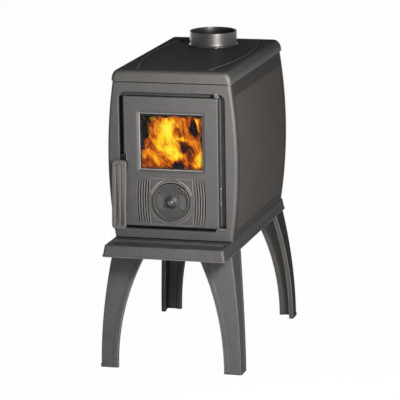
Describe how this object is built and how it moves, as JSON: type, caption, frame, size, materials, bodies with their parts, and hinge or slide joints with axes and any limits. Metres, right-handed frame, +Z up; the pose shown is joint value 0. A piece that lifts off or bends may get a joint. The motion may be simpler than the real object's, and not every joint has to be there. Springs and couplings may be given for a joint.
{
  "type": "wood stove",
  "caption": "Small free-standing cast iron wood stove on splayed legs, with a glazed door, a drop latch, a turning air disc and a flue collar on top.",
  "frame": {"origin": "on the floor under the middle of the bounding box", "axes": "+Z up; -Y is the front, where the door faces; +X is to the right of someone facing the door"},
  "size_m": [0.3246, 0.57, 0.7],
  "materials": {
    "cast_iron": "matt stove paint over a fine sand-cast skin",
    "lining_iron": "bare casting, sooty",
    "steel": "plain steel, dull",
    "seal_rope": "braided mineral fibre",
    "glass": "clear ceramic glass"
  },
  "bodies": {
    "stove": {"back_plate": "cast_iron", "baffle_plate": "lining_iron", "collar_screw_front": "steel", "collar_screw_rear": "steel", "firebox_floor": "lining_iron", "flue_collar": "cast_iron", "front_plate": "cast_iron", "hearth_tray": "cast_iron", "hinge_pin_lower": "steel", "hinge_pin_upper": "steel", "leg_bolt_front_left": "steel", "leg_bolt_front_right": "steel", "leg_bolt_rear_left": "steel", "leg_bolt_rear_right": "steel", "leg_front_left": "cast_iron", "leg_front_right": "cast_iron", "leg_rear_left": "cast_iron", "leg_rear_right": "cast_iron", "log_fence": "lining_iron", "rear_lining": "lining_iron", "side_lining_left": "lining_iron", "side_lining_right": "lining_iron", "side_plate_left": "cast_iron", "side_plate_right": "cast_iron", "tie_rod_front_left": "steel", "tie_rod_front_right": "steel", "tie_rod_rear_left": "steel", "tie_rod_rear_right": "steel", "top_plate": "cast_iron"},
    "door": {"door": "cast_iron", "door_seal": "seal_rope", "glass_seal": "seal_rope", "door_glass": "glass", "air_deflector": "cast_iron", "disc_spindle": "steel", "disc_washer": "steel", "disc_nut": "steel", "handle_pivot_bolt": "steel", "deflector_screw_left": "steel", "deflector_screw_right": "steel", "glass_clip_left_lower": "steel", "glass_clip_left_upper": "steel", "glass_clip_right_lower": "steel", "glass_clip_right_upper": "steel", "glass_screw_left_lower": "steel", "glass_screw_left_upper": "steel", "glass_screw_right_lower": "steel", "glass_screw_right_upper": "steel"},
    "latch_handle": {"door_handle": "cast_iron"},
    "air_register": {"air_disc": "cast_iron"}
  },
  "joints": [
    {"name": "door_hinge", "type": "hinge", "parent": "stove", "child": "door", "pos_m": [0.102, -0.196, 0.319], "axis": [0, 0, 1], "range_deg": [0, 110]},
    {"name": "handle_pivot", "type": "hinge", "parent": "door", "child": "latch_handle", "pos_m": [-0.116, -0.199, 0.46], "axis": [-1, 0, 0], "range_deg": [0, 30]},
    {"name": "disc_turn", "type": "hinge", "parent": "door", "child": "air_register", "pos_m": [-0.001, -0.2063, 0.3755], "axis": [0, -1, 0], "range_deg": [0, 90]}
  ]
}
